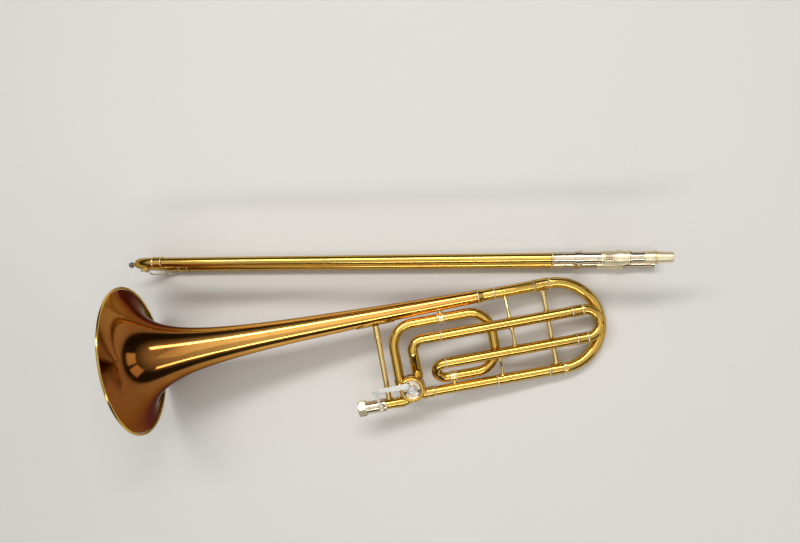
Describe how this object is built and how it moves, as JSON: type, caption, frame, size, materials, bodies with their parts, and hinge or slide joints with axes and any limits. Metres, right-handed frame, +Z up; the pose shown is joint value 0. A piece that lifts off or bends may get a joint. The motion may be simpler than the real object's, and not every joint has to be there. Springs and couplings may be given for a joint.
{
  "type": "trombone",
  "caption": "Large-bore tenor trombone with a rotary valve attachment, stored apart: the bell section lying down, the closed hand slide standing on edge beside it.",
  "frame": {"origin": "on the floor, under the centre of the whole as it is stored", "axes": "+X along the hand slide from the bumper to the tenon, +Y from the bell section towards the hand slide, +Z up"},
  "size_m": [0.838, 0.274, 0.2256],
  "materials": {
    "rose_brass": "clear-lacquered rose brass, polished",
    "lacquered_brass": "clear-lacquered yellow brass, polished",
    "nickel_silver": "polished nickel silver",
    "chrome_plate": "polished hard chrome",
    "rubber": "matt black rubber"
  },
  "bodies": {
    "bell_section": {"bell": "rose_brass", "bell_rim_wire": "lacquered_brass", "bell_tail_ferrule": "lacquered_brass", "bell_side_slide_tube": "lacquered_brass", "neck_side_slide_tube": "lacquered_brass", "neckpipe_rear": "lacquered_brass", "neckpipe_front": "lacquered_brass", "slide_receiver": "nickel_silver", "bell_brace": "lacquered_brass", "bell_brace_flange": "lacquered_brass", "f_loop_rise": "lacquered_brass", "f_loop_bend": "lacquered_brass", "f_loop_return": "lacquered_brass", "f_branch": "lacquered_brass", "f_loop_upper_ferrule": "lacquered_brass", "f_loop_lower_ferrule": "lacquered_brass", "f_slide_tube_upper": "lacquered_brass", "f_slide_tube_lower": "lacquered_brass", "tube_brace_upper": "lacquered_brass", "tube_brace_middle": "lacquered_brass", "tube_brace_lower": "lacquered_brass", "loop_saddle_upper": "lacquered_brass", "loop_saddle_lower": "lacquered_brass", "rotor_casing": "lacquered_brass", "casing_back_cap": "lacquered_brass", "casing_front_cap": "lacquered_brass", "stop_bumper_rest": "rubber", "stop_bumper_engaged": "rubber", "lever_bracket": "nickel_silver"},
    "main_tuning_slide": {"main_bow": "lacquered_brass", "main_inner_leg_bell_side": "lacquered_brass", "main_inner_leg_neck_side": "lacquered_brass", "main_bow_brace": "lacquered_brass"},
    "f_tuning_slide": {"f_inner_leg_upper": "lacquered_brass", "f_inner_leg_lower": "lacquered_brass", "f_bow": "lacquered_brass"},
    "rotor_assembly": {"rotor": "lacquered_brass", "stop_arm": "chrome_plate", "stop_arm_screw": "chrome_plate"},
    "thumb_lever": {"thumb_lever": "chrome_plate"},
    "lever_link": {"lever_link": "chrome_plate"},
    "lock_nut": {"lock_nut": "nickel_silver"},
    "inner_slide": {"cork_barrel_bell_side": "nickel_silver", "cork_barrel_mouthpiece_side": "nickel_silver", "inner_tube_bell_side": "chrome_plate", "inner_tube_mouthpiece_side": "chrome_plate", "inner_slide_brace": "nickel_silver", "bell_tenon": "nickel_silver", "mouthpiece_receiver": "nickel_silver"},
    "slide_lock": {"slide_lock": "nickel_silver"},
    "outer_slide": {"outer_tube_bell_side": "lacquered_brass", "outer_tube_mouthpiece_side": "lacquered_brass", "oversleeve_bell_side": "nickel_silver", "oversleeve_mouthpiece_side": "nickel_silver", "outer_slide_brace": "nickel_silver", "slide_crook": "lacquered_brass", "slide_bumper": "rubber"},
    "water_key": {"water_key": "nickel_silver"}
  },
  "joints": [
    {"name": "main_tuning_slide_pull", "type": "slide", "parent": "bell_section", "child": "main_tuning_slide", "axis": [0.9724, 0.1873, -0.1392], "range_m": [0, 0.045]},
    {"name": "f_tuning_slide_pull", "type": "slide", "parent": "bell_section", "child": "f_tuning_slide", "axis": [0.9724, 0.1873, -0.1392], "range_m": [0, 0.08]},
    {"name": "thumb_lever_press", "type": "hinge", "parent": "bell_section", "child": "thumb_lever", "pos_m": [0.0138, -0.09027, 0.07912], "axis": [-0.152, 0.0559, -0.9868], "range_deg": [0, 30], "stiffness_Nm_per_rad": 0.1, "springref_deg": -20.05},
    {"name": "rotor_turn", "type": "hinge", "parent": "bell_section", "child": "rotor_assembly", "pos_m": [0.05304, -0.0625, 0.04577], "axis": [-0.152, 0.0559, -0.9868], "range_deg": [0, 90]},
    {"name": "link_swing", "type": "hinge", "parent": "thumb_lever", "child": "lever_link", "pos_m": [0.00281, -0.0669, 0.08213], "axis": [-0.152, 0.0559, -0.9868], "range_deg": [-30, 0]},
    {"name": "lock_nut_turn", "type": "hinge", "parent": "bell_section", "child": "lock_nut", "pos_m": [-0.02164, -0.09474, 0.05544], "axis": [0.9724, 0.1873, -0.1392], "continuous": true},
    {"name": "hand_slide_lift", "type": "slide", "parent": "bell_section", "child": "inner_slide", "axis": [0, 0, 1], "range_m": [0, 0.25]},
    {"name": "outer_slide_extend", "type": "slide", "parent": "inner_slide", "child": "outer_slide", "axis": [-1, 0, 0], "range_m": [0, 0.6]},
    {"name": "slide_lock_turn", "type": "hinge", "parent": "inner_slide", "child": "slide_lock", "pos_m": [0.335, 0.1263, 0.0947], "axis": [1, 0, 0], "range_deg": [0, 30]},
    {"name": "water_key_press", "type": "hinge", "parent": "outer_slide", "child": "water_key", "pos_m": [-0.364, 0.1145, 0.0905], "axis": [0, 0, 1], "range_deg": [0, 9], "stiffness_Nm_per_rad": 0.03, "springref_deg": -17.19}
  ],
  "couplings": [
    {"joint": "rotor_turn", "follows": "thumb_lever_press", "ratio": 3},
    {"joint": "link_swing", "follows": "thumb_lever_press", "ratio": -1}
  ]
}
